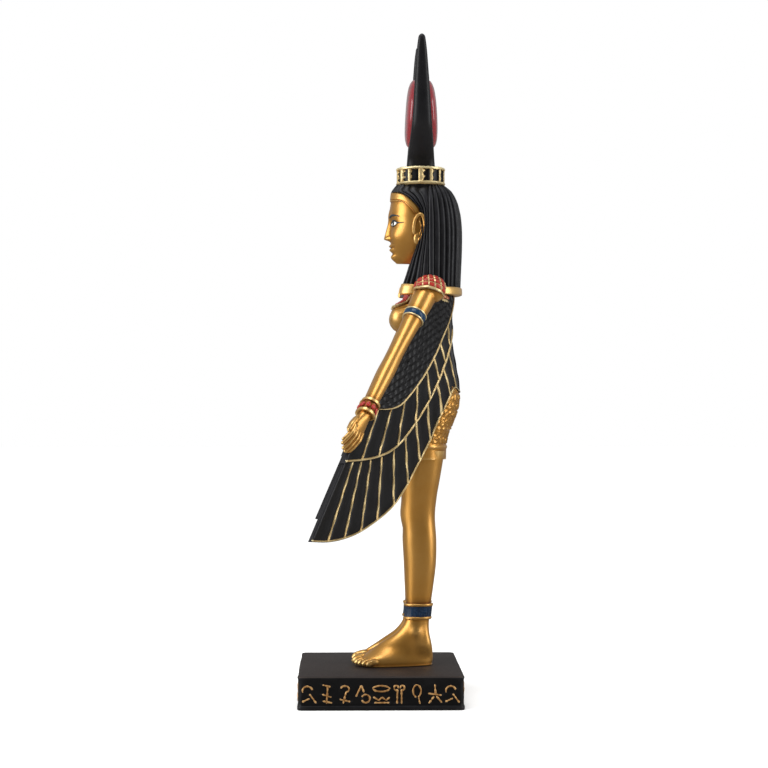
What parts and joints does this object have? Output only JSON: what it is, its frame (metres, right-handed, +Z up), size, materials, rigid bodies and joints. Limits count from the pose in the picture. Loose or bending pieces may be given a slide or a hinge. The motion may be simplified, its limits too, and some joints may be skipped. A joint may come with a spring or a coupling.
{
  "type": "isis figurine",
  "caption": "Painted cast-resin statuette of a standing winged Egyptian goddess with horned sun-disk crown on a rectangular plinth.",
  "frame": {"origin": "centre of the plinth's underside", "axes": "+Z up, the figure faces -Y, its left side is +X"},
  "size_m": [0.1744, 0.0723, 0.29],
  "materials": {
    "figure_paint": "antique gold and satin black paint, red and blue details, over cast resin",
    "plinth_paint": "satin black paint over cast resin, raised signs picked out in gold"
  },
  "bodies": {
    "root": {"figure": "figure_paint", "plinth": "plinth_paint"}
  },
  "joints": []
}
